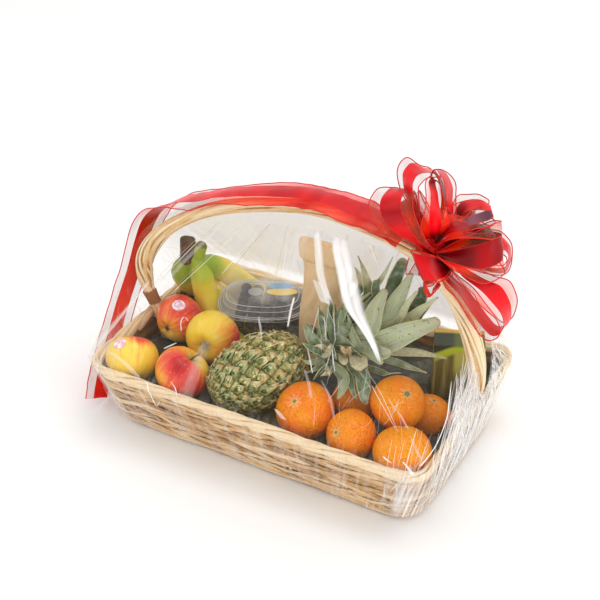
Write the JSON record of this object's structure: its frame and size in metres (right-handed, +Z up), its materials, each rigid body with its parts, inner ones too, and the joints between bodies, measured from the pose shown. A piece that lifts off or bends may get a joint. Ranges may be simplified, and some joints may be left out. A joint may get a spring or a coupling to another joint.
{
  "type": "fruit gift basket",
  "caption": "Flared rectangular willow basket with an arched handle, filled with fresh fruit and packed food, wrapped in clear film and tied with a wide red ribbon and bow.",
  "frame": {"origin": "middle of the basket's underside, where it stands", "axes": "+X along the basket's long side towards the end with the bow, -Y towards the front, +Z up"},
  "size_m": [0.5494, 0.3002, 0.4091],
  "materials": {
    "willow": "woven straw-coloured willow strips, satin",
    "straw": "twisted bundle of straw-coloured strips, satin",
    "reed": "brown reed wound round, satin",
    "dark_lining": "dark grey-green, matt",
    "apple_skin": "waxy skin, red blush over yellow",
    "orange_peel": "pored peel, satin",
    "banana_skin": "smooth skin, yellow with green necks",
    "pineapple_rind": "rough rind, olive and ochre",
    "crown_leaf": "stiff leaf, grey-green, satin",
    "clear_plastic": "thin clear moulded plastic, gloss",
    "berry": "dark skin with bloom, matt",
    "kraft_paper": "brown kraft paper, matt",
    "carton_print": "coated board, satin, plain fields of colour",
    "clear_film": "clear wrapping film, gloss",
    "ribbon_red": "red satin ribbon with sheer wired edges, gloss"
  },
  "bodies": {
    "root": {"basket": "willow", "handle": "straw", "binding_left": "reed", "binding_right": "reed", "lining": "dark_lining", "apple_1": "apple_skin", "apple_2": "apple_skin", "apple_3": "apple_skin", "apple_4": "apple_skin", "orange_1": "orange_peel", "orange_2": "orange_peel", "orange_3": "orange_peel", "orange_4": "orange_peel", "orange_5": "orange_peel", "orange_6": "orange_peel", "banana_bunch": "banana_skin", "pineapple": "pineapple_rind", "pineapple_crown": "crown_leaf", "punnet_tray": "clear_plastic", "punnet_lid": "clear_plastic", "berries": "berry", "paper_bag": "kraft_paper", "carton": "carton_print", "film": "clear_film", "ribbon": "ribbon_red", "bow": "ribbon_red"}
  },
  "joints": []
}
